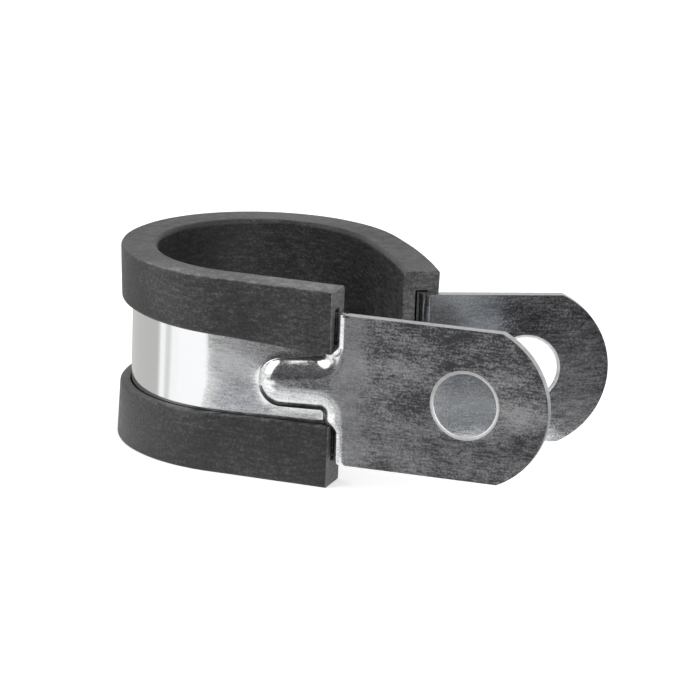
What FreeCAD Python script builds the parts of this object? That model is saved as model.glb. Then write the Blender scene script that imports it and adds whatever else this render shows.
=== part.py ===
"""A rubber-lined P clip: a folded steel band with two drilled ears, in a rubber channel lining.

The clip stands on the lower rim of its lining. The origin is on the axis of the cable bore, half
way up the lining. +Z runs along the bore, +X points from the loop to the ears, and -Y is the side
of the straight front arm.
"""

import FreeCAD
import Part
import os
from collections import namedtuple
from math import cos, radians, sin

Vector = FreeCAD.Vector
UP = Vector(0, 0, 1)

# Steel band
band_width = 15.0
band_thickness = 1.0
hole_diameter = 6.8
tip_radius_per_width = 0.55
edge_break = 0.12

# Rubber lining: a channel that wraps the band, with two lips outside it
bore_diameter = 21.5
base_thickness = 1.25
lip_thickness = 1.2
edge_wall = 2.2
lip_reach = 5.85
window_lift = 0.15
lip_lean = 0.2
rim_break = 0.2
seat_clearance = 0.1
band_lift = 0.25

# Loop and arms, seen from above
loop_angle = 226.4
front_arm_angle = 19.45
front_arm_length = 12.4
rear_arm_radius = 59.0
rear_arm_angle = 13.5

# Front ear: it steps outwards by a joggle and turns back a little
joggle_start = 0.1
joggle_angle = 70.0
joggle_bend_radius = 0.2
joggle_offset = 1.3
front_ear_angle = 2.0
front_ear_reach = 12.1

# Rear ear: one square bend
rear_ear_angle = 6.8
rear_bend_radius = 0.3
rear_ear_reach = 9.65

# Stiffening bead, pressed outwards from the arm into the front ear
bead_width = 4.6
bead_length = 8.2
bead_relief = 0.03
bead_foot_round = 0.3

# How near a point must be to a plane or an axis to count as on it
on_surface = 1e-4

# Sizes that follow
tip_radius = tip_radius_per_width * band_width
band_outer = band_thickness / 2
slot_outer = band_outer + seat_clearance
slot_inner = -slot_outer
lining_outer = slot_outer + lip_thickness
lining_inner = slot_inner - base_thickness
band_radius = bore_diameter / 2 - lining_inner
band_bottom = band_lift - band_width / 2
band_top = band_lift + band_width / 2
slot_bottom = band_bottom - seat_clearance
slot_top = band_top + seat_clearance
lining_top = band_width / 2 + seat_clearance + edge_wall
window_top = lining_top - lip_reach + window_lift
window_bottom = lip_reach - lining_top + window_lift
joggle_radius = joggle_bend_radius + band_outer
rear_bend_centre_radius = rear_bend_radius + band_outer
bead_height = joggle_offset - bead_relief

# One line or arc of the band's middle line. Offsets are positive on its left, outside the loop.
Stretch = namedtuple("Stretch", "start end middle heading end_heading bent")


def along(heading):
    return Vector(cos(radians(heading)), sin(radians(heading)), 0)


def leftward(heading):
    return Vector(-sin(radians(heading)), cos(radians(heading)), 0)


def walk(start, heading, moves):
    """Follows (length, turn) moves: a turn of 0 is a line, and other lengths are arc radii."""
    stretches = []
    for size, turn in moves:
        if turn == 0:
            end = start + along(heading) * size
            middle = (start + end) * 0.5
        else:
            side = 1 if turn > 0 else -1
            centre = start + leftward(heading) * (side * size)
            middle = centre - leftward(heading + turn / 2) * (side * size)
            end = centre - leftward(heading + turn) * (side * size)
        stretches.append(Stretch(start, end, middle, heading, heading + turn, turn != 0))
        start = end
        heading += turn
    return stretches


def backwards(stretches):
    """The same stretches, walked from the last end to the first start."""
    turned = []
    for part in reversed(stretches):
        turned.append(Stretch(part.end, part.start, part.middle, part.end_heading + 180,
                              part.heading + 180, part.bent))
    return turned


def side_edges(stretches, offset, level):
    """The edges that run beside the stretches at one offset."""
    edges = []
    for part in stretches:
        lift = UP * level
        first = part.start + leftward(part.heading) * offset + lift
        last = part.end + leftward(part.end_heading) * offset + lift
        if part.bent:
            half_way = (part.heading + part.end_heading) / 2
            middle = part.middle + leftward(half_way) * offset + lift
            edges.append(Part.Arc(first, middle, last).toShape())
        else:
            edges.append(Part.LineSegment(first, last).toShape())
    return edges


def strip_outline(stretches, inner, outer, level):
    """A closed outline between two offsets."""
    outside = side_edges(stretches, outer, level)
    inside = side_edges(backwards(stretches), -inner, level)
    end_cap = Part.makeLine(outside[-1].lastVertex().Point, inside[0].firstVertex().Point)
    start_cap = Part.makeLine(inside[-1].lastVertex().Point, outside[0].firstVertex().Point)
    return Part.Wire(outside + [end_cap] + inside + [start_cap])


def strip(stretches, inner, outer, low, high):
    """A solid between two offsets and two levels."""
    return Part.Face(strip_outline(stretches, inner, outer, low)).extrude(UP * (high - low))


def front_walk():
    """From the loop out along the front arm, through the joggle to the ear's tip."""
    heading = -front_arm_angle
    start = leftward(heading + 180) * band_radius
    bends = 2 * joggle_radius
    slope = (joggle_offset - bends * (1 - cos(radians(joggle_angle)))) / sin(radians(joggle_angle))
    arm = walk(start, heading, [(front_arm_length, 0)])
    ear = walk(arm[-1].end, heading, [
        (joggle_start, 0),
        (joggle_radius, -joggle_angle),
        (slope, 0),
        (joggle_radius, joggle_angle + front_ear_angle),
        (front_ear_reach, 0),
        (tip_radius, 0),
    ])
    return arm, ear


def rear_walk(loop_end):
    """From the loop along the rear arm, round the bend to the ear's tip."""
    arm = walk(loop_end.end, loop_end.end_heading, [(rear_arm_radius, -rear_arm_angle)])
    heading = arm[-1].end_heading
    ear = walk(arm[-1].end, heading, [
        (rear_bend_centre_radius, rear_ear_angle - heading),
        (rear_ear_reach, 0),
        (tip_radius, 0),
    ])
    return arm, ear


front_arm, front_ear = front_walk()
loop = walk(front_arm[0].start, 180 - front_arm_angle, [(band_radius, -loop_angle)])
rear_arm, rear_ear = rear_walk(loop[-1])
lined_path = backwards(front_arm) + loop + rear_arm
band_path = backwards(front_ear) + lined_path + rear_ear


def sunk(stretches, amount):
    """The stretches made longer by a straight piece at both ends, for a cut that runs right out."""
    first, last = stretches[0], stretches[-1]
    lead_in = walk(first.start - along(first.heading) * amount, first.heading, [(amount, 0)])
    lead_out = walk(last.end, last.end_heading, [(amount, 0)])
    return lead_in + stretches + lead_out


def hole_axis(ear):
    """The hole's centre, the way to the tip and the face's normal, for a walk that ends at the tip."""
    tip = ear[-1]
    return tip.start + UP * band_lift, along(tip.heading), leftward(tip.heading)


def tip_trim(ear):
    """What is cut from a square-ended ear to leave a rounded tip about the hole."""
    centre, outwards, normal = hole_axis(ear)
    reach = 2 * tip_radius
    corner = centre - normal * reach / 2 - UP * reach / 2
    block = Part.makeBox(reach, reach, reach)
    block.Placement = FreeCAD.Placement(corner, FreeCAD.Rotation(outwards, normal, UP, "ZXY"))
    disc = Part.makeCylinder(tip_radius, reach, centre - normal * reach / 2, normal)
    return block.cut(disc)


def ear_hole(ear):
    centre, outwards, normal = hole_axis(ear)
    length = 4 * band_thickness
    return Part.makeCylinder(hole_diameter / 2, length, centre - normal * length / 2, normal)


# Directions of the front arm, and how far past the lining the joggle ends
arm_ahead = along(-front_arm_angle)
arm_outwards = leftward(180 - front_arm_angle)
arm_end = front_arm[-1].end + UP * band_lift
joggle_length = (front_ear[3].end - front_ear[0].start).dot(arm_ahead)


def arm_place(point):
    """Distance past the lining's end, height over the arm's outer face, height over the bead's middle."""
    offset = point - arm_end
    return offset.dot(arm_ahead), offset.dot(arm_outwards) - band_outer, offset.z


def bead_form(shrink):
    """The bead's round back, as a rod with a ball end along the arm."""
    half = bead_width / 2
    crown = (half ** 2 + bead_height ** 2) / (2 * bead_height)
    axis_point = arm_end + arm_outwards * (band_outer + bead_height - crown)
    ball = axis_point - arm_ahead * (bead_length - half)
    rod = Part.makeCylinder(crown - shrink, bead_length - half + joggle_length, ball, arm_ahead)
    return rod.fuse(Part.makeSphere(crown - shrink, ball))


def side_prism(points):
    """A prism as wide as the band over (distance past the lining's end, height) points."""
    origin = arm_end + arm_outwards * band_outer - UP * band_width / 2
    corners = [origin + arm_ahead * far + arm_outwards * high for far, high in points]
    face = Part.Face(Part.makePolygon(corners + corners[:1]))
    return face.extrude(UP * band_width)


def bead():
    """The metal that the bead adds outside the arm, as far as the joggle's crest."""
    depth = band_thickness / 3
    keep = side_prism([
        (-2 * bead_length, -depth),
        (joggle_length / 2, -depth),
        (joggle_length, bead_height - band_outer),
        (joggle_length, 2 * bead_height),
        (-2 * bead_length, 2 * bead_height),
    ])
    return bead_form(0).common(keep)


def bead_recess():
    """The hollow behind the bead, one sheet thickness under its face."""
    keep = side_prism([
        (-2 * bead_length, -2 * band_thickness),
        (joggle_length, -2 * band_thickness),
        (joggle_length, bead_height),
        (-2 * bead_length, bead_height),
    ])
    return bead_form(band_thickness + bead_relief).common(keep)


def edges_where(shape, test):
    """The edges of which every sampled point passes a test."""
    found = []
    for edge in shape.Edges:
        first, last = edge.FirstParameter, edge.LastParameter
        samples = [edge.valueAt(first + (last - first) * k / 4) for k in range(5)]
        if all(test(point) for point in samples):
            found.append(edge)
    return found


def circle_edges(shape, radius):
    return [edge for edge in shape.Edges if edge.Curve.TypeId == "Part::GeomCircle"
            and abs(edge.Curve.Radius - radius) < on_surface]


def on_bead_foot(point):
    far, high, across = arm_place(point)
    return abs(high) < on_surface and abs(across) < bead_width


def on_cut_edge(point):
    return min(abs(point.z - band_bottom), abs(point.z - band_top)) < on_surface


def steel_band():
    sheet = strip(band_path, -band_outer, band_outer, band_bottom, band_top)
    for ear in (front_ear, rear_ear):
        sheet = sheet.cut(tip_trim(ear)).cut(ear_hole(ear))
    sheet = sheet.fuse(bead()).cut(bead_recess()).removeSplitter()
    sheet = sheet.makeFillet(bead_foot_round, edges_where(sheet, on_bead_foot))
    rims = edges_where(sheet, on_cut_edge)
    rims += circle_edges(sheet, tip_radius)
    rims += circle_edges(sheet, hole_diameter / 2)
    return sheet.makeChamfer(edge_break, rims)


def lip(rim, free_edge):
    """One lip, thinner towards its free edge."""
    outlines = [
        strip_outline(lined_path, slot_outer, lining_outer, rim),
        strip_outline(lined_path, slot_outer, lining_outer - lip_lean, free_edge),
    ]
    return Part.makeLoft(outlines, True, True)


def rubber_lining():
    channel = strip(lined_path, lining_inner, slot_outer, -lining_top, lining_top)
    channel = channel.fuse([lip(lining_top, window_top), lip(-lining_top, window_bottom)])
    slot = strip(sunk(lined_path, 1.0), slot_inner, slot_outer, slot_bottom, slot_top)
    channel = channel.cut(slot).removeSplitter()
    rims = edges_where(channel, lambda point: abs(abs(point.z) - lining_top) < on_surface)
    wall = base_thickness + lip_thickness
    return channel.makeChamfer(rim_break, [edge for edge in rims if edge.Length > wall])


def save(name, shape):
    solid = shape.Solids[0]
    print(name, "solids", len(shape.Solids), "valid", solid.isValid(), "volume", round(solid.Volume, 1))
    solid.exportStep(f"parts/{name}.step")


os.makedirs("parts", exist_ok=True)
save("steel_band", steel_band())
save("rubber_lining", rubber_lining())
for name, ear in (("front", front_ear), ("rear", rear_ear)):
    centre, outwards, normal = hole_axis(ear)
    print(name, "hole", tuple(round(v, 3) for v in centre), "normal", tuple(round(v, 4) for v in normal))
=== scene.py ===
"""Looks for the rubber-lined P clip: zinc-plated band, black rubber lining, pale studio stage.

Plan sizes are in millimetres, as in the solids, and points become metres in make_mesh. The band and
the lining are rebuilt here as fine meshes on the same middle line, so that the sheet's bends, its
pressed bead and the soft rims of the rubber shade smoothly.
"""

from math import atan2, cos, hypot, radians, sin, sqrt

import bmesh
import bpy
import numpy as np
from mathutils import Matrix, Vector, noise


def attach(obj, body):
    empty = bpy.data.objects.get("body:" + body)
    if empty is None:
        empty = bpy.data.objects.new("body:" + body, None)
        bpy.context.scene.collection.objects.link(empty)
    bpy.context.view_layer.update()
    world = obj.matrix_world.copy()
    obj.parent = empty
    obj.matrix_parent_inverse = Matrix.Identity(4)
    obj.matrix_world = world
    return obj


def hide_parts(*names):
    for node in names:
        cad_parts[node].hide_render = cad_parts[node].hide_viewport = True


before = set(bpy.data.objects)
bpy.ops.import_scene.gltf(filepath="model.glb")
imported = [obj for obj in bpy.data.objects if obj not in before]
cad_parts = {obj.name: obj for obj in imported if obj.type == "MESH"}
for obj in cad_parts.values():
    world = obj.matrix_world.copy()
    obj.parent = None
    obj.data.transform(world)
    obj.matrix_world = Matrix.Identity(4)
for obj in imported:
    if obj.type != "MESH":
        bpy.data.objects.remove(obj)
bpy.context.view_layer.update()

MM = 0.001

# Steel band
band_width = 15.0
band_thickness = 1.0
hole_diameter = 6.8
tip_radius = 8.25
edge_round = 0.13

# Rubber lining
bore_diameter = 21.5
base_thickness = 1.25
lip_thickness = 1.2
lining_height = 19.6
lip_lean = 0.2
seat_clearance = 0.1
band_lift = 0.25
cut_end_round = 0.07
wave_depth = 0.035
lining_step = 0.5

# Lining's window: its edges at the front end, and how far they move apart where it is stretched
window_bottom = -3.75
window_top = 3.49
window_bottom_drop = 0.35
window_top_rise = 0.81
stretch_places = (0, 4, 10, 22, 60, 76)
stretch_shares = (0, 0.15, 0.55, 1, 1, 0.6)

# Loop and arms, seen from above
loop_angle = 226.4
front_arm_angle = 19.45
front_arm_length = 12.4
rear_arm_radius = 59.0
rear_arm_angle = 13.5

# Front ear
joggle_start = 0.1
joggle_angle = 70.0
joggle_bend_radius = 0.2
joggle_offset = 1.3
front_ear_angle = 2.0
front_ear_reach = 12.1

# Rear ear
rear_ear_angle = 6.8
rear_bend_radius = 0.3
rear_ear_reach = 9.65

# Both ears: the strip runs flat a little past its bend, and rings lead from the ear's outline in to
# the hole. Each is (share of the way out, gap to the hole, dip), and the last strips are the rim.
ear_flat = 0.3
ear_rings = (
    (0.5, 0.4, 0), (0.1, 0.4, 0), (0, 0.4, 0), (0, 0.1, 0),
    (0, 0.066, 0.005), (0, 0.033, 0.018), (0, 0, 0.039),
)
rim_strips = 3

# Places in the band's list of materials: a rim's wall, through the sheet, takes the next one. The hole
# rims' materials are near white, a painted highlight.
front_rim_material = 2
rear_rim_material = 4

# Bead: a rounded ridge, a little off square, whose foot flares where it runs into the ear
bead_foot_width = 4.6
bead_foot_length = 7.6
bead_sink = 0.07
bead_tilt = 0.05
bead_back_radius = 2.6
bead_crease = 0.3
bead_mound = 0.3
bead_mound_fade = 0.65
bead_widening = 0.5
bead_widening_start = -6.0
bead_widening_length = 5.0
bead_flare_low = 0.55
bead_flare_high = 0.8
bead_fade = 0.03
root_spread = 0.85
lip_gap_half = 4.4
lip_gap_blend = 1.1

# Edges of the sheet, drawn in where it was stretched into the joggle
edge_draw = 0.36
draw_before = 1.6
draw_rise = 1.2
draw_short = 0.1
draw_fall = 0.7
draw_inside = 5.0
draw_width = 2.5

# Sizes that follow
band_outer = band_thickness / 2
slot_outer = band_outer + seat_clearance
lining_outer = slot_outer + lip_thickness
lining_inner = -slot_outer - base_thickness
band_radius = bore_diameter / 2 - lining_inner
band_bottom = band_lift - band_width / 2
band_top = band_lift + band_width / 2
lining_top = lining_height / 2
joggle_radius = joggle_bend_radius + band_outer
rear_radius = rear_bend_radius + band_outer
floor_level = -lining_top
card_level = floor_level + 0.05


def along(heading):
    return np.array([cos(radians(heading)), sin(radians(heading))])


def leftward(heading):
    return np.array([-sin(radians(heading)), cos(radians(heading))])


def walk(start, heading, moves, step):
    """Follows (length or radius, turn) moves and returns (points, headings) at about one step."""
    points, headings = [np.array(start, float)], [heading]
    for size, turn in moves:
        here, length = points[-1], size * radians(abs(turn)) if turn else size
        count = max(2, int(round(length / step)))
        side = 1 if turn > 0 else -1
        centre = here + leftward(heading) * side * size
        for k in range(1, count + 1):
            part = k / count
            if turn:
                points.append(centre - leftward(heading + turn * part) * side * size)
            else:
                points.append(here + along(heading) * size * part)
            headings.append(heading + turn * part)
        heading += turn
    return np.array(points), np.array(headings)


# Ends and directions that several pieces share; the lining and the loop run from the front arm back
back_heading = 180 - front_arm_angle
arm_ahead = along(-front_arm_angle)
arm_outwards = leftward(back_heading)
arm_root = arm_outwards * band_radius
arm_end = arm_root + arm_ahead * front_arm_length
front_ahead = along(-front_arm_angle + front_ear_angle)


def joggle_profile(samples=24):
    """(distance, height) of the sheet's middle as it steps outwards, from flat to flat."""
    slope = joggle_offset - 2 * joggle_radius * (1 - cos(radians(joggle_angle)))
    moves = [(joggle_radius, joggle_angle), (slope / sin(radians(joggle_angle)), 0),
             (joggle_radius, -joggle_angle)]
    points, headings = walk((0, 0), 0, moves, joggle_radius * radians(joggle_angle) / samples)
    return points[:, 0], points[:, 1]


step_far, step_high = joggle_profile()
joggle_length = step_far[-1]
front_root = arm_end + arm_ahead * (joggle_start + joggle_length) + arm_outwards * joggle_offset
front_hole = front_root + front_ahead * front_ear_reach


def smooth(share):
    share = np.clip(share, 0, 1)
    return share * share * (3 - 2 * share)


def ridge_profile(step=0.02):
    """(distance inside the foot, height) over the bead: a faint mound, a crease, then a round back."""
    half = bead_foot_width / 2
    mound_reach = 4
    far = np.arange(-mound_reach, half + step, step)
    across = np.clip(half - far, 0, half)
    back = across / np.sqrt(bead_back_radius ** 2 - across ** 2)
    mound = bead_mound * np.exp(np.minimum(far, 0) / bead_mound_fade)
    share = smooth(far / bead_crease)
    high = np.cumsum(mound * (1 - share) + back * share)
    return far, (high - high[0]) * joggle_offset / (high[-1] - high[0])


ridge_far, ridge_high = ridge_profile()


def meeting(into_bead, into_ear, flare):
    """Distance inside the bead or the ear, whose outlines meet in a rounded inner corner."""
    near_both = (into_bead > -flare) & (into_ear > -flare)
    corner = np.hypot(flare + into_bead, flare + into_ear) - flare
    return np.where(near_both, corner, np.maximum(into_bead, into_ear))


def raised_height(u, z):
    """Height of the sheet's middle over the arm, u past the lining's end and z over the band's middle.

    The bead and the ear are one raised form. Between the lips the ear begins with the bead's own
    crease and round back, and beyond them with the plain joggle.
    """
    half = bead_foot_width / 2
    first = -bead_foot_length + half
    across = z + bead_sink - bead_tilt * np.minimum(u, 0)
    # 0 on the bead's lower side and 1 on its upper side
    upper = smooth((across + 1) / 2)
    between_lips = smooth((lip_gap_half - np.abs(across)) / lip_gap_blend)
    into_bead = half - np.where(u < first, np.hypot(u - first, across), np.abs(across))
    widened = smooth((u - bead_widening_start) / bead_widening_length)
    into_bead = into_bead + bead_widening * widened * upper
    flare = bead_flare_low + (bead_flare_high - bead_flare_low) * upper
    spread = root_spread * between_lips
    past_foot = (u - joggle_start + spread) / (joggle_length + spread)
    ridge = np.interp(meeting(into_bead, past_foot * half, flare), ridge_far, ridge_high)
    step = np.interp(meeting(into_bead, past_foot * joggle_length, flare), step_far, step_high)
    height = step + (ridge * (1 + bead_fade * np.minimum(u, 0)) - step) * between_lips
    past = np.maximum(u - joggle_start - joggle_length, 0)
    return height - past * sin(radians(front_ear_angle)) / cos(radians(front_ear_angle))


def make_mesh(name, vertices, faces):
    """A smooth-shaded piece from points in millimetres."""
    mesh = bpy.data.meshes.new(name)
    mesh.from_pydata([tuple(c * MM for c in v) for v in vertices], [], faces)
    mesh.validate()
    for polygon in mesh.polygons:
        polygon.use_smooth = True
    piece = bpy.data.objects.new(name, mesh)
    bpy.context.scene.collection.objects.link(piece)
    return piece


def recalculate(piece):
    """Makes the faces agree on which side is out."""
    shape = bmesh.new()
    shape.from_mesh(piece.data)
    bmesh.ops.recalc_face_normals(shape, faces=shape.faces)
    shape.to_mesh(piece.data)
    shape.free()


def add_modifier(piece, kind, name, **settings):
    modifier = piece.modifiers.new(name, kind)
    for key, value in settings.items():
        setattr(modifier, key, value)
    return modifier


def ear_outline(reach, levels):
    """Points round a flat ear, (distance past the hole, height), from the bottom of its root."""
    half = band_width / 2
    corner = sqrt(tip_radius ** 2 - half ** 2)
    swing = atan2(half, corner)
    edge_points, tip_points = 26, 60
    edge = np.linspace(-reach, corner, edge_points)[1:]
    turns = np.linspace(-swing, swing, tip_points)[1:]
    bottom = [(a, -half) for a in edge]
    tip = [(tip_radius * cos(t), tip_radius * sin(t)) for t in turns]
    top = [(a, half) for a in edge[::-1][1:]]
    root = [(-reach, level) for level in levels[::-1]]
    return bottom + tip + top + root


def add_ear(vertices, faces, column, hole_centre, outwards, reach, levels):
    """A flat ear between the last column of the strip and its rounded tip, with a rolled hole rim.

    Returns the places of the rim's faces in the list of faces.
    """
    outline = ear_outline(reach, levels)
    known = column[::-1]
    first_known = len(outline) - len(known)
    behind = np.array([-outwards[1], outwards[0]])
    rings = [[]]
    for k, (a, b) in enumerate(outline):
        if k >= first_known:
            rings[0].append(known[k - first_known])
            continue
        place = hole_centre + outwards * a
        rings[0].append(len(vertices))
        vertices.append((place[0], place[1], b + band_lift))
    radius = hole_diameter / 2
    for share, gap, dip in ear_rings:
        ring = []
        for a, b in outline:
            size = hypot(a, b)
            near = (radius + gap) / size
            scale = near + (1 - near) * share
            place = hole_centre + outwards * (a * scale) + behind * dip
            ring.append(len(vertices))
            vertices.append((place[0], place[1], b * scale + band_lift))
        rings.append(ring)
    for outer, inner in zip(rings, rings[1:]):
        for k in range(len(outline)):
            n = (k + 1) % len(outline)
            faces.append((outer[k], outer[n], inner[n], inner[k]))
    return range(len(faces) - rim_strips * len(outline), len(faces))


def edge_pull(u, level):
    """How far a point of the sheet is drawn towards its middle line, at the joggle only."""
    rise = smooth((u + draw_before) / draw_rise)
    fall = smooth((joggle_length - draw_short - u) / draw_fall)
    inside = smooth((abs(level) - draw_inside) / draw_width)
    return np.sign(level) * edge_draw * float(rise * fall) * float(inside)


def steel_band():
    """The sheet's middle as one grid, with both ears, then its thickness and broken edges."""
    half = band_width / 2
    bead_reach, bead_rows, plain_step = 4.5, 91, 0.3
    below = np.arange(-half, -bead_reach, plain_step)
    levels = np.concatenate([below, np.linspace(-bead_reach, bead_reach, bead_rows), -below[::-1]])
    vertices, faces, columns = [], [], []

    flat = joggle_start + joggle_length + ear_flat
    fine_step, bead_step, coarse_step, coarse_rows = 0.1, 0.12, 0.4, 9
    fine_length, bead_margin = 2.5, 1.2
    fine = np.arange(flat, -fine_length, -fine_step)
    middle = np.arange(fine[-1] - bead_step, -bead_foot_length - bead_margin, -bead_step)
    coarse = np.linspace(middle[-1] - coarse_step, -front_arm_length, coarse_rows)
    for u in np.concatenate([fine, middle, coarse]):
        heights = raised_height(np.full_like(levels, u), levels)
        column = []
        for level, high in zip(levels, heights):
            place = arm_end + arm_ahead * u + arm_outwards * high
            column.append(len(vertices))
            vertices.append((place[0], place[1], level - edge_pull(u, level) + band_lift))
        columns.append(column)

    loop_step, arm_step, bend_step = 0.45, 0.5, 0.07
    loop, loop_headings = walk(arm_root, back_heading, [(band_radius, -loop_angle)], loop_step)
    arm, arm_headings = walk(loop[-1], loop_headings[-1], [(rear_arm_radius, -rear_arm_angle)], arm_step)
    turn = rear_ear_angle - arm_headings[-1]
    bend = walk(arm[-1], arm_headings[-1], [(rear_radius, turn), (ear_flat, 0)], bend_step)[0]
    for place in np.concatenate([loop[1:], arm[1:], bend[1:]]):
        column = []
        for level in levels:
            column.append(len(vertices))
            vertices.append((place[0], place[1], level + band_lift))
        columns.append(column)

    for left, right in zip(columns, columns[1:]):
        for low in range(len(levels) - 1):
            faces.append((left[low], right[low], right[low + 1], left[low + 1]))

    start = arm_end + arm_ahead * flat
    start = start + arm_outwards * float(raised_height(np.array([flat]), np.array([0.0]))[0])
    reach = hypot(*(front_hole - start))
    front_rim = add_ear(vertices, faces, columns[0], front_hole, front_ahead, reach, levels)

    rear_ahead = along(rear_ear_angle)
    reach = rear_ear_reach - ear_flat
    rear_hole = bend[-1] + rear_ahead * reach
    rear_rim = add_ear(vertices, faces, columns[-1], rear_hole, rear_ahead, reach, levels)

    piece = make_mesh("band_sheet", vertices, faces)
    for rim, material in ((front_rim, front_rim_material), (rear_rim, rear_rim_material)):
        for face in rim:
            piece.data.polygons[face].material_index = material
    recalculate(piece)
    add_modifier(piece, "SOLIDIFY", "thickness", thickness=band_thickness * MM, offset=0.0,
                 use_even_offset=True, use_quality_normals=True, material_offset_rim=1)
    add_modifier(piece, "BEVEL", "broken_edges", width=edge_round * MM, segments=3,
                 limit_method="ANGLE", angle_limit=radians(50))
    add_modifier(piece, "WEIGHTED_NORMAL", "shading", keep_sharp=True)
    return piece


def rounded(corners, steps=4):
    """A closed outline with each (x, y, radius) corner rounded by an arc."""
    outline = []
    count = len(corners)
    for k, (x, y, radius) in enumerate(corners):
        here = np.array([x, y])
        before = np.array(corners[k - 1][:2]) - here
        after = np.array(corners[(k + 1) % count][:2]) - here
        before /= np.linalg.norm(before)
        after /= np.linalg.norm(after)
        half = np.arccos(np.clip(before @ after, -1, 1)) / 2
        reach = radius / np.tan(half)
        centre = here + (before + after) / np.linalg.norm(before + after) * radius / np.sin(half)
        first, last = here + before * reach - centre, here + after * reach - centre
        for j in range(steps + 1):
            spoke = first * (1 - j / steps) + last * (j / steps)
            outline.append(centre + spoke / np.linalg.norm(spoke) * radius)
    return outline


def window_edges(far):
    """(bottom, top) of the lining's window, far along the lining from its front end.

    The lips are stretched shorter round the loop and stand a little higher at the front end.
    """
    stretch = float(np.interp(far, stretch_places, stretch_shares))
    return window_bottom - window_bottom_drop * stretch, window_top + window_top_rise * stretch


def lining_section(far):
    """The channel's outline, (offset, height), at one place along the lining."""
    bottom, top = window_edges(far)
    rim, free, sharp, bore_rim = 0.22, 0.4, 0.06, 0.5
    outer = lining_outer
    slot_top = band_top + seat_clearance
    slot_bottom = band_bottom - seat_clearance
    return rounded([
        (outer, lining_top, rim),
        (outer - lip_lean, top, free),
        (slot_outer, top, sharp),
        (slot_outer, slot_top, sharp),
        (-slot_outer, slot_top, sharp),
        (-slot_outer, slot_bottom, sharp),
        (slot_outer, slot_bottom, sharp),
        (slot_outer, bottom, sharp),
        (outer - lip_lean, bottom, free),
        (outer, -lining_top, rim),
        (lining_inner, -lining_top, rim),
        (lining_inner, lining_top, bore_rim),
    ])


def rubber_lining():
    """The channel's section carried along the lined part of the band."""
    moves = [(front_arm_length, 0), (band_radius, -loop_angle), (rear_arm_radius, -rear_arm_angle)]
    points, headings = walk(arm_end, back_heading, moves, lining_step)
    steps = np.hypot(*np.diff(points, axis=0).T)
    fars = np.concatenate([[0], np.cumsum(steps)])
    wavy_beyond = slot_outer + 0.2
    plan_waves, upright_waves = 0.25, 0.3
    vertices, faces, rings = [], [], []
    for place, heading, far in zip(points, headings, fars):
        out = leftward(heading)
        ring = []
        for offset, level in lining_section(far):
            spot = place + out * offset
            wave = noise.noise(Vector((spot[0] * plan_waves, spot[1] * plan_waves, level * upright_waves)))
            push = wave_depth * wave if abs(offset) > wavy_beyond else 0.0
            spot = spot + out * push
            ring.append(len(vertices))
            vertices.append((spot[0], spot[1], level))
        rings.append(ring)
    count = len(rings[0])
    for left, right in zip(rings, rings[1:]):
        for k in range(count):
            n = (k + 1) % count
            faces.append((left[k], right[k], right[n], left[n]))
    faces.append(tuple(rings[0]))
    faces.append(tuple(reversed(rings[-1])))
    piece = make_mesh("lining_channel", vertices, faces)
    recalculate(piece)
    add_modifier(piece, "BEVEL", "cut_ends", width=cut_end_round * MM, segments=2,
                 limit_method="ANGLE", angle_limit=radians(60))
    add_modifier(piece, "WEIGHTED_NORMAL", "shading", keep_sharp=True)
    return piece


class Nodes:
    """Short ways to place and join shader nodes in one material."""

    def __init__(self, name):
        self.material = bpy.data.materials.new(name)
        self.material.use_nodes = True
        self.tree = self.material.node_tree
        self.tree.nodes.clear()

    def add(self, kind, inputs=None, **settings):
        node = self.tree.nodes.new(kind)
        for key, value in settings.items():
            setattr(node, key, value)
        for key, value in (inputs or {}).items():
            if isinstance(value, bpy.types.NodeSocket):
                self.tree.links.new(value, node.inputs[key])
            else:
                node.inputs[key].default_value = value
        return node

    def noise(self, vector, scale, detail=3.0, rough=0.5):
        settings = {"Vector": vector, "Scale": scale, "Detail": detail, "Roughness": rough}
        return self.add("ShaderNodeTexNoise", settings).outputs["Fac"]

    def span(self, value, low, high, to_low, to_high):
        settings = {"Value": value, "From Min": low, "From Max": high, "To Min": to_low, "To Max": to_high}
        return self.add("ShaderNodeMapRange", settings).outputs["Result"]

    def between(self, value, low, high, to_low=0, to_high=1):
        """The same over a length, which is given in millimetres."""
        return self.span(value, low * MM, high * MM, to_low, to_high)

    def math(self, operation, first, second):
        return self.add("ShaderNodeMath", {0: first, 1: second}, operation=operation).outputs[0]

    def sum(self, first, second):
        return self.math("ADD", first, second)

    def less(self, first, second):
        return self.math("SUBTRACT", first, second)

    def times(self, first, second):
        return self.math("MULTIPLY", first, second)

    def vector(self, operation, inputs, output="Vector"):
        return self.add("ShaderNodeVectorMath", inputs, operation=operation).outputs[output]

    def offset(self, place, centre):
        """The way from a centre, which is given in millimetres."""
        return self.vector("SUBTRACT", {0: place, 1: tuple(c * MM for c in centre)})

    def dot(self, vector, direction):
        return self.vector("DOT_PRODUCT", {0: vector, 1: direction}, "Value")

    def length(self, vector):
        return self.vector("LENGTH", {0: vector}, "Value")

    def drawn_out(self, place, share):
        """Coordinates in which a pattern is longer along the sheet than across it."""
        settings = {"Vector": place, "Scale": (share, share, 1)}
        return self.add("ShaderNodeMapping", settings).outputs["Vector"]

    def ramp(self, value, stops):
        node = self.add("ShaderNodeValToRGB", {"Fac": value})
        elements = node.color_ramp.elements
        while len(elements) < len(stops):
            elements.new(0.5)
        for element, (place, colour) in zip(elements, stops):
            element.position = place
            element.color = (*colour, 1)
        return node.outputs["Color"]

    def finish(self, shader):
        self.add("ShaderNodeOutputMaterial", {"Surface": shader})
        return self.material


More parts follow.
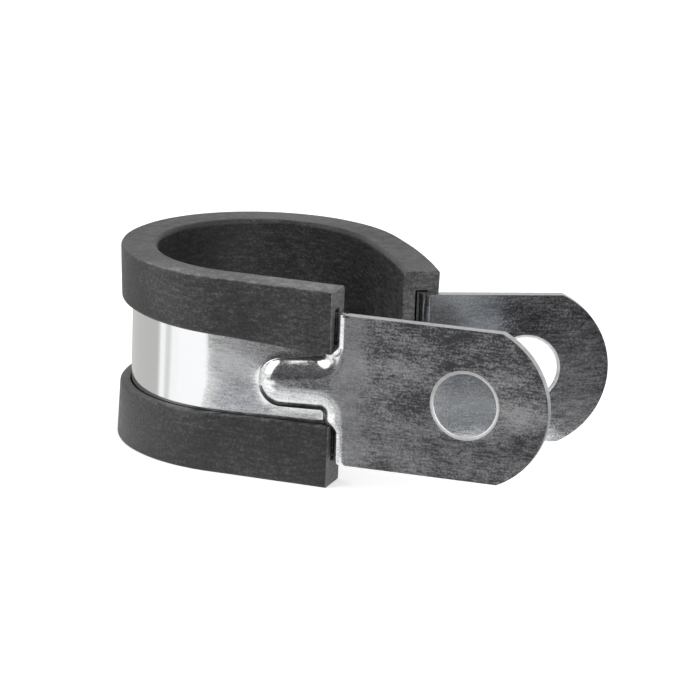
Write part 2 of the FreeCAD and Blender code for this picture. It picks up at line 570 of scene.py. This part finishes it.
def painted_patch(n, place, centre, ahead, size):
    """A soft patch, 1 in its middle and 0 outside, on a flat part of the band, for painted reflections and
    shade.
    """
    offset = n.offset(place, centre)
    flat = n.dot(offset, (ahead[0] / size[0] / MM, ahead[1] / size[0] / MM, 0))
    high = n.dot(offset, (0, 0, 1 / size[1] / MM))
    far = n.sum(n.times(flat, flat), n.times(high, high))
    return n.span(far, 0, 1, 1, 0)


def plated(n, colour, rough, height, relief):
    """Finishes a metal material with fine relief."""
    bump = n.add("ShaderNodeBump", {"Height": height, "Strength": relief, "Distance": 0.00004})
    shader = n.add("ShaderNodeBsdfPrincipled", {
        "Base Color": colour,
        "Metallic": 1.0,
        "Roughness": rough,
        "Normal": bump.outputs["Normal"],
    })
    return n.finish(shader.outputs["BSDF"])


def zinc_material():
    """Bright zinc plating: smooth round the loop, streaked and grainy where the sheet was pressed."""
    n = Nodes("zinc_plating")
    place = n.add("ShaderNodeTexCoord").outputs["Object"]
    xyz = n.add("ShaderNodeSeparateXYZ", {"Vector": place}).outputs
    x, y, z = xyz["X"], xyz["Y"], xyz["Z"]
    streak = n.noise(n.drawn_out(place, 0.2), 5000, 3, 0.6)
    grain = n.noise(place, 5200, 3, 0.65)
    cloud = n.noise(n.drawn_out(place, 0.5), 420, 3, 0.55)
    mixed = n.sum(n.times(streak, 0.45), n.times(grain, 0.55))
    tone = n.sum(n.times(mixed, 0.7), n.times(cloud, 0.3))

    # Pressed parts: the front arm and ear at once, and the rear arm little by little
    back = n.between(y, 0, 2)
    front_pressed = n.times(n.between(x, -5.6, -5, 0.05, 1), n.less(1, back))
    rear_pressed = n.times(n.between(x, -8, 12, 0.05, 0.8), back)
    worked = n.sum(front_pressed, rear_pressed)

    # Painted reflections: light patches beside the front hole and a dark one over it. Painted shade: the
    # ears a little darker
    hole = np.array((front_hole[0], front_hole[1], band_lift))
    ahead, up = np.append(front_ahead, 0), np.array((0, 0, 1))
    light = n.sum(painted_patch(n, place, hole - ahead * 8 + up * 2.4, front_ahead, (7, 2.2)),
                  painted_patch(n, place, hole + ahead * 6 - up * 0.3, front_ahead, (3.6, 2)))
    dark = painted_patch(n, place, hole + ahead * 1 + up * 5.6, front_ahead, (10, 3))
    ear = n.between(x, 9.2, 11.2)
    # The painted reflections lighten and darken the tone here, and the painted shade darkens the ears
    tone = n.sum(tone, n.times(light, 0.06))
    tone = n.less(tone, n.sum(n.times(dark, 0.015), n.times(ear, 0.052)))

    # Contrast: strong on the front ear's upper part, weaker on the rear ear, least by its bend
    behind = n.between(y, -12.5, -11.5)
    by_bend = n.times(behind, n.between(x, 22.5, 24.5, 1, 0))
    strong = n.times(n.span(behind, 0, 1, 1.5, 0.6), n.between(z, -3, 1, 0.55, 1))
    contrast = n.sum(worked, n.times(ear, strong))
    contrast = n.times(contrast, n.less(1, n.times(by_bend, 0.55)))
    tone = n.sum(n.times(n.less(tone, 0.5), contrast), 0.5)
    colour = n.ramp(tone, [
        (0.27, (0.18, 0.182, 0.19)), (0.5, (0.67, 0.675, 0.68)), (0.69, (0.98, 0.98, 0.985)),
    ])
    rough = n.sum(n.times(n.span(mixed, 0.4, 0.6, 0.02, 0.12), worked), 0.075)
    return plated(n, colour, rough, n.times(mixed, worked), 0.2)


def cut_edge_material(name, dark, pale, roughness):
    """The sheet's sheared edges or a hole's rim: plated, but rougher than its faces."""
    n = Nodes(name)
    place = n.add("ShaderNodeTexCoord").outputs["Object"]
    tone = n.noise(place, 1800, 3, 0.6)
    colour = n.ramp(tone, [(0.35, dark), (0.65, pale)])
    rough = n.span(tone, 0.35, 0.65, roughness, roughness + 0.12)
    return plated(n, colour, rough, tone, 0.3)


def rubber_material():
    """Matte black rubber, mottled, with dust and painted sheen on the top rim's front half, painted shade
    inside the loop and painted light on its cut ends.
    """
    n = Nodes("black_rubber")
    place = n.add("ShaderNodeTexCoord").outputs["Object"]
    mottle = n.noise(n.drawn_out(place, 0.25), 3600, 4, 0.65)
    grain = n.noise(place, 4200, 2, 0.6)
    cloud = n.noise(place, 95, 2, 0.5)
    tone = n.sum(n.times(mottle, 0.36), n.times(grain, 0.34))
    tone = n.sum(tone, n.times(cloud, 0.3))

    # Painted light: the cut ends made paler, the front one more than the rear
    moves = [(band_radius, -loop_angle), (rear_arm_radius, -rear_arm_angle)]
    rear, rear_headings = walk(arm_root, back_heading, moves, lining_step)
    for end, ahead, end_painted_light in ((arm_end, arm_ahead, 0.17), (rear[-1], along(rear_headings[-1]), 0.1)):
        offset = n.offset(place, (end[0], end[1], 0))
        past = n.dot(offset, (ahead[0], ahead[1], 0))
        cut = n.times(n.between(past, -0.08, -0.04), n.between(n.length(offset), 11, 11.2, 1, 0))
        tone = n.sum(tone, n.times(cut, end_painted_light))

    # Dust and painted sheen, in specks, on the top rim's front half
    normal = n.add("ShaderNodeNewGeometry").outputs["Normal"]
    up = n.add("ShaderNodeSeparateXYZ", {"Vector": normal}).outputs["Z"]
    front = n.dot(place, (arm_outwards[0], arm_outwards[1], 0))
    dust_and_sheen = n.times(n.span(up, 0.6, 0.95, 0, 1), n.between(front, 9, 12.5))
    dust_and_sheen = n.times(dust_and_sheen, n.span(mottle, 0.42, 0.6, 0.3, 1))
    tone = n.sum(tone, n.times(dust_and_sheen, 0.13))

    # Painted shade: the wall inside the loop made darker
    radius = n.length(n.vector("MULTIPLY", {0: place, 1: (1, 1, 0)}))
    tone = n.less(tone, n.between(radius, 10.8, 11.3, 0.035, 0))

    colour = n.ramp(tone, [
        (0.38, (0.013, 0.013, 0.0135)), (0.5, (0.031, 0.031, 0.0322)),
        (0.62, (0.088, 0.088, 0.089)), (0.74, (0.2, 0.2, 0.2)),
    ])
    rough = n.span(mottle, 0.35, 0.65, 0.42, 0.62)
    height = n.sum(n.times(grain, 0.6), n.times(mottle, 0.8))
    bump = n.add("ShaderNodeBump", {"Height": height, "Strength": 0.6, "Distance": 0.00008})
    shader = n.add("ShaderNodeBsdfPrincipled", {
        "Base Color": colour,
        "Roughness": rough,
        "Specular IOR Level": 0.4,
        "Normal": bump.outputs["Normal"],
    })
    return n.finish(shader.outputs["BSDF"])


def floor_material():
    """Pale floor that reads as white and keeps the clip's soft shadow."""
    n = Nodes("pale_floor")
    path = n.add("ShaderNodeLightPath").outputs
    seen = n.math("MAXIMUM", path["Is Camera Ray"], path["Is Glossy Ray"])
    seen = n.math("MAXIMUM", seen, path["Is Transmission Ray"])
    diffuse = n.add("ShaderNodeBsdfDiffuse", {"Color": (0.8, 0.8, 0.8, 1)}).outputs["BSDF"]
    glow = n.add("ShaderNodeEmission", {"Color": (1, 1, 1, 1), "Strength": n.times(seen, 0.45)})
    both = n.add("ShaderNodeAddShader", {0: diffuse, 1: glow.outputs["Emission"]})
    return n.finish(both.outputs["Shader"])


def grey(level, bluer=0.0):
    return level, level, level + bluer


def card_material(name, stops, across=None, centre=None, strength=1.0):
    """A card's own glow: (millimetres, colour) stops across it, or (degrees, colour) round a centre."""
    n = Nodes(name)
    place = n.add("ShaderNodeTexCoord").outputs["Object"]
    low, high = stops[0][0], stops[-1][0]
    if centre:
        xyz = n.add("ShaderNodeSeparateXYZ", {"Vector": place}).outputs
        turn = n.math("ARCTAN2", n.less(centre[1] * MM, xyz["Y"]), n.less(centre[0] * MM, xyz["X"]))
        share = n.span(turn, radians(low), radians(high), 0, 1)
    else:
        share = n.between(n.dot(place, across), low, high)
    colour = n.ramp(share, [((far - low) / (high - low), tint) for far, tint in stops])
    glow = n.add("ShaderNodeEmission", {"Color": colour, "Strength": strength})
    return n.finish(glow.outputs["Emission"])


def stage_floor():
    """A floor that reaches past the picture on every side."""
    size = 4000
    corners = [(-size, -size, floor_level), (size, -size, floor_level),
               (size, size, floor_level), (-size, size, floor_level)]
    floor = make_mesh("floor", corners, [(0, 1, 2, 3)])
    floor.data.materials.append(floor_material())


def reflected_card(name, corners, material):
    """A card that only shows in reflections."""
    piece = make_mesh(name, corners, [tuple(range(len(corners)))])
    piece.data.materials.append(material)
    for ray in ("camera", "diffuse", "shadow", "transmission", "volume_scatter"):
        setattr(piece, "visible_" + ray, False)


def floor_card(name, outline, rise, material):
    """A card that lies flat, just over the floor or over the cards that it covers."""
    reflected_card(name, [(x, y, card_level + rise) for x, y in outline], material)


def arm_cards():
    """What the front arm and ear show: light by the clip, and darker further out."""
    greys = card_material("front_greys", [
        (-6, grey(1)), (0, grey(0.88)), (5, grey(0.68, 0.01)), (7.8, grey(0.33, 0.01)),
        (20, grey(0.27, 0.005)), (44, grey(0.23, 0.005)), (60, grey(0.11, 0.005)),
    ], across=(0.8, -0.6, 0))
    floor_card("front_card", [
        (-22, -24), (-110, -150), (40, -220), (170, -60), (70, -16.5), (32.5, -16.5),
        (32, -31), (26, -31), (19, -28), (13, -21), (8, -21), (1, -26),
    ], 0, greys)
    low = card_material("low_greys", [(-30, grey(0.42, 0.05)), (0, grey(0.3, 0.04))], across=(1, 0, 0))
    floor_card("low_card", [(-25, -36), (-17, -28.5), (-9, -31.5), (-17, -41.5)], 0.05, low)
    beyond = card_material("beyond_greys", [
        (-12, grey(0.5)), (0, grey(0.34, 0.005)), (8, grey(0.14, 0.005)),
    ], across=(0.777, -0.629, 0))
    floor_card("beyond_card", [
        (-36.5, -41), (-31.5, -48.8), (-27.5, -46), (-23.3, -42.1), (-47, -71), (-60, -60),
    ], 0.05, beyond)


def loop_card():
    """The upright light and grey bands on the loop, set out by angle round one point."""
    side = card_material("side_greys", [
        (-80, grey(0.36, -0.01)), (-66, grey(0.5, -0.02)), (-15, grey(0.5, -0.02)),
        (-12, grey(0.57, -0.01)), (-8.5, grey(0.95)), (-4, grey(0.95)), (-0.5, grey(0.69)),
        (3, grey(0.69)), (7, grey(0.96)), (12, grey(0.97)),
    ], centre=(-8, -8.5), strength=1.4)
    floor_card("side_card", [
        (-26, -13.5), (-26, 2), (-22, 14), (-14, 22), (-30, 110), (-150, 110), (-150, -45),
    ], 0, side)


def bead_cards():
    """What the bead's flank, crest and edge show, and the strips of arm beside and under it."""
    near = card_material("near_greys", [(-20, grey(0.6, 0.01)), (0, grey(0.5, 0.01))], across=(1, 0, 0))
    floor_card("near_card", [(-13.8, -30.1), (-6.8, -33.1), (-10.6, -37.8), (-17.6, -34.8)], 0.1, near)
    flank = card_material("flank_greys", [(-14, grey(0.76, 0.01)), (0, grey(0.9))], across=(1, 0, 0))
    floor_card("flank_card", [(-8, -24.5), (0, -26.2), (-4.5, -32.1), (-13.8, -30.1)], 0.15, flank)
    crest = card_material("crest_greys", [
        (-60, grey(0.08, 0.005)), (-41, grey(0.11, 0.005)),
    ], across=(0, 1, 0))
    floor_card("crest_card", [(-17.8, -35.7), (-12.5, -40.1), (-27, -57.9), (-32.3, -53.6)], 0.12, crest)
    floor_card("edge_card", [(-15.3, -32.6), (-10, -36.9), (-12.5, -40.1), (-17.8, -35.7)], 0.12, flank)
    strip = card_material("strip_greys", [
        (-27, grey(0.3, 0.01)), (-26.2, grey(0.24, 0.005)), (-25.2, grey(0.24, 0.005)),
        (-24.6, grey(0.6, 0.01)), (-23.4, grey(0.85)), (-21.5, grey(0.97)), (-17, grey(1)),
    ], across=(-0.27, 1, 0))
    floor_card("strip_card", [
        (-9, -18), (2, -18), (0.5, -24.2), (-2.2, -27.8), (-7.7, -27.8), (-8, -26), (-9, -24),
    ], 0.2, strip)


def ear_cards():
    """A sweep of light by the front hole, and the bluish greys of the rear ear."""
    sweep = card_material("sweep_greys", [(-2, grey(0.4)), (9, grey(0.56))], across=(1, 0, 0))
    floor_card("sweep_card", [(4, -47.5), (9.5, -49), (4.5, -56), (-1, -53.5)], 0.05, sweep)
    blue = card_material("right_greys", [
        (-34, (0.38, 0.41, 0.44)), (-29.5, (0.4, 0.43, 0.47)), (-28.5, (0.62, 0.65, 0.68)),
        (-28.1, grey(1)), (-27.7, grey(1)), (-27.3, (0.72, 0.75, 0.78)), (-24, (0.74, 0.77, 0.8)),
    ], across=(-0.6, 0.8, 0))
    floor_card("right_card", [(31, -15.5), (120, -15.5), (110, 70), (30, 26)], 0, blue)
    gap = card_material("gap_greys", [(10, (0.34, 0.36, 0.38)), (40, (0.3, 0.32, 0.34))], across=(1, 0, 0))
    floor_card("gap_card", [(14, -19), (30, -19), (31.5, -30.5), (26, -30.5), (19.5, -27.5)], 0, gap)


def dark_cards():
    """A dark card far out on the floor, and flags that stand beyond it and lean over the clip."""
    dark = card_material("dark_flag", [(0, grey(0.085, 0.005)), (120, grey(0.1))], across=(0, 0, 1))
    floor_card("far_card", [
        (-70, -30), (-60, -62), (-35, -88), (-10, -100), (60, -110), (60, -165), (-215, -32),
    ], 0.05, dark)
    left, right, flag_top = (-155, -74), (60, -160), 160
    over_left, over_right, over_level = (-130, 30), (80, -75), 260
    reflected_card("front_flag", [
        (*left, card_level), (*right, card_level), (*right, flag_top), (*left, flag_top),
    ], dark)
    reflected_card("upper_flag", [
        (*left, flag_top), (*right, flag_top), (*over_right, over_level), (*over_left, over_level),
    ], dark)
    reflected_card("over_flag", [
        (*over_left, over_level), (*over_right, over_level), (110, 150, 300), (-110, 230, 300),
    ], dark)


def lamp(name, place, target, size, power):
    """A white softbox at a place, aimed at a target."""
    light = bpy.data.lights.new(name, "AREA")
    light.shape = "RECTANGLE"
    light.size, light.size_y = size[0] * MM, size[1] * MM
    light.energy = power
    holder = bpy.data.objects.new(name, light)
    bpy.context.scene.collection.objects.link(holder)
    holder.location = Vector(place) * MM
    aim = Vector(target) * MM - holder.location
    holder.rotation_euler = aim.to_track_quat("-Z", "Y").to_euler()
    return holder


def studio():
    """A world that looks white but lights the clip only softly, and three softboxes."""
    world = bpy.data.worlds.new("studio")
    bpy.context.scene.world = world
    world.use_nodes = True
    tree = world.node_tree
    background = tree.nodes["Background"]
    background.inputs["Color"].default_value = (1, 1, 1, 1)
    path = tree.nodes.new("ShaderNodeLightPath").outputs
    seen = path["Is Camera Ray"]
    for ray in ("Is Glossy Ray", "Is Transmission Ray"):
        either = tree.nodes.new("ShaderNodeMath")
        either.operation = "MAXIMUM"
        tree.links.new(seen, either.inputs[0])
        tree.links.new(path[ray], either.inputs[1])
        seen = either.outputs[0]
    level = tree.nodes.new("ShaderNodeMapRange")
    level.inputs["To Min"].default_value = 0.28
    level.inputs["To Max"].default_value = 1.0
    tree.links.new(seen, level.inputs["Value"])
    tree.links.new(level.outputs["Result"], background.inputs["Strength"])
    top = lamp("top_softbox", (-60, 10, 420), (5, -5, 0), (420, 420), 1.5)
    top.visible_glossy = False
    lamp("left_softbox", (-330, -120, 190), (0, -5, 0), (320, 300), 0.5)
    lamp("fill", (180, -320, 170), (8, -5, 0), (260, 260), 0.6)


def camera():
    """Stands where the photograph was taken from, with its slight roll."""
    elevation, roll = radians(15.67), radians(2.01)
    distance = 402.3
    target = Vector((8.818, -5.05, 0.675))
    view = Vector((0, -cos(elevation), sin(elevation)))
    level_right, level_up = Vector((1, 0, 0)), Vector((0, sin(elevation), cos(elevation)))
    right = level_right * cos(roll) + level_up * sin(roll)
    up = level_up * cos(roll) - level_right * sin(roll)
    data = bpy.data.cameras.new("camera")
    data.sensor_width = 36.0
    data.lens = 208.3
    data.clip_start = 0.01
    data.clip_end = 20.0
    holder = bpy.data.objects.new("camera", data)
    bpy.context.scene.collection.objects.link(holder)
    turn = Matrix((right, up, view)).transposed().to_4x4()
    holder.matrix_world = Matrix.Translation((target + view * distance) * MM) @ turn
    bpy.context.scene.camera = holder


# Faces, sheared edges, front hole's rim and wall, and rear hole's rim and wall together; the hole rims are
# near white for a painted highlight
band = steel_band()
for material in (
    zinc_material(),
    cut_edge_material("zinc_cut_edge", grey(0.32, 0.01), grey(0.5), 0.3),
    # Near-white hole rims: a painted highlight round each hole
    cut_edge_material("zinc_hole_rim_painted_highlight", grey(0.96), grey(0.99), 0.52),
    cut_edge_material("zinc_bore_wall", (0.26, 0.27, 0.28), (0.38, 0.39, 0.4), 0.3),
    cut_edge_material("zinc_rear_rim_painted_highlight", grey(0.85), grey(0.99), 0.42),
):
    band.data.materials.append(material)
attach(band, "root")
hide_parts("steel_band")

lining = rubber_lining()
lining.data.materials.append(rubber_material())
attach(lining, "root")
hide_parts("rubber_lining")

stage_floor()
arm_cards()
loop_card()
bead_cards()
ear_cards()
dark_cards()
studio()
camera()
bpy.context.scene.view_settings.view_transform = "Standard"
